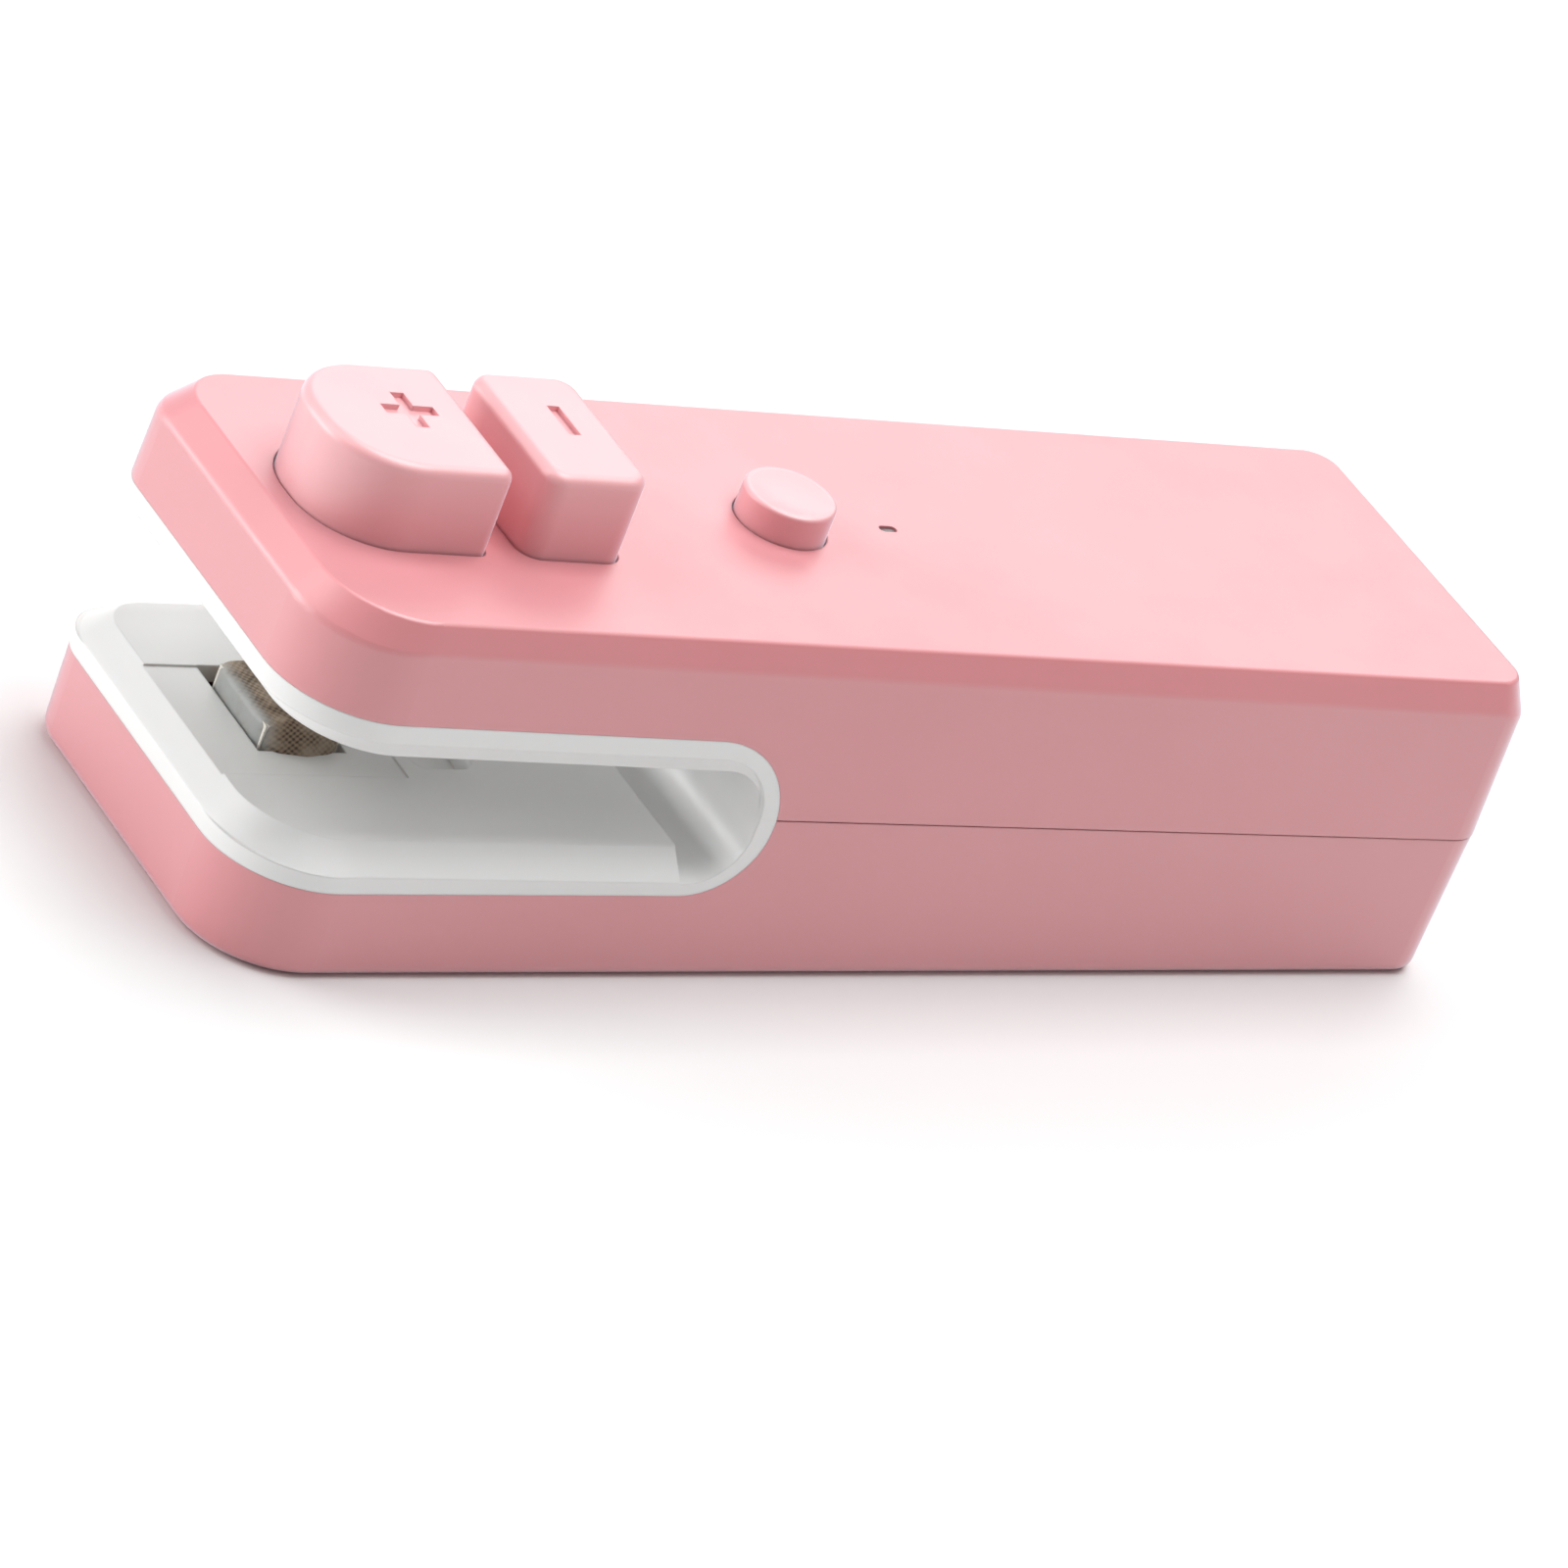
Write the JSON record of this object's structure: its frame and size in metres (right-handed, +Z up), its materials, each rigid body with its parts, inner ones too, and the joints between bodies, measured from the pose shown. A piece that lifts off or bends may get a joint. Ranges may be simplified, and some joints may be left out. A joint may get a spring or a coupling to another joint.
{
  "type": "handheld bag heat sealer",
  "caption": "Pocket-sized cordless sealer that presses a plastic bag against a heated bar in its open nose, with a second key that works a cutter blade",
  "frame": {"origin": "centre of the flat bottom", "axes": "+X runs from the open nose to the rear, +Y across the body, +Z up through the keys"},
  "size_m": [0.1048, 0.0332, 0.0361],
  "materials": {
    "pink_shell": "satin moulded ABS",
    "pink_key": "satin moulded ABS",
    "pink_button": "satin moulded ABS",
    "white_liner": "satin heat-resistant nylon",
    "silicone": "matt silicone rubber",
    "spring_steel": "drawn wire",
    "blade_steel": "ground",
    "screw_steel": "zinc plated",
    "black_nylon": "moulded",
    "mica_base": "pressed insulation board",
    "ceramic_block": "unglazed",
    "ribbon_metal": "rolled resistance strip",
    "terminal_brass": "stamped",
    "ptfe_cloth": "woven glass cloth coated with PTFE",
    "wire_insulation": "silicone insulation",
    "clear_plastic": "moulded acrylic",
    "lamp_body": "moulded package",
    "board_green": "solder mask",
    "chip_black": "moulded package",
    "socket_steel": "stamped, tin plated",
    "battery_wrap": "heat-shrink film",
    "foam_tape": "double-sided foam tape"
  },
  "bodies": {
    "body": {"upper_shell": "pink_shell", "lower_shell": "pink_shell", "mouth_liner": "white_liner", "plus_springs": "spring_steel", "minus_springs": "spring_steel", "heater_base": "mica_base", "heater_block": "ceramic_block", "heating_ribbon": "ribbon_metal", "heater_terminals": "terminal_brass", "cloth_cover": "ptfe_cloth", "heater_screws": "screw_steel", "heater_leads": "wire_insulation", "seal_switch": "chip_black", "power_switch": "chip_black", "light_pipe": "clear_plastic", "status_light": "lamp_body", "circuit_board": "board_green", "board_components": "chip_black", "board_screws": "screw_steel", "usb_socket": "socket_steel", "battery_cell": "battery_wrap", "battery_tape": "foam_tape", "battery_leads": "wire_insulation", "shell_screws": "screw_steel", "liner_screws": "screw_steel"},
    "plus": {"plus_key": "pink_key", "press_head": "black_nylon", "silicone_pad": "silicone", "press_head_screws": "screw_steel"},
    "minus": {"minus_key": "pink_key", "blade_carrier": "black_nylon", "cutter_blade": "blade_steel", "carrier_screws": "screw_steel"},
    "power": {"power_button": "pink_button", "switch_plunger": "black_nylon"}
  },
  "joints": [
    {"name": "plus_press", "type": "slide", "parent": "body", "child": "plus", "axis": [0, 0, -1], "range_m": [0, 0.0048], "stiffness_N_per_m": 300, "springref_m": -0.003, "deforming": ["plus_springs"]},
    {"name": "minus_press", "type": "slide", "parent": "body", "child": "minus", "axis": [0, 0, -1], "range_m": [0, 0.005], "stiffness_N_per_m": 300, "springref_m": -0.003, "deforming": ["minus_springs"]},
    {"name": "power_press", "type": "slide", "parent": "body", "child": "power", "axis": [0, 0, -1], "range_m": [0, 0.0006], "stiffness_N_per_m": 800, "springref_m": -0.0004}
  ]
}
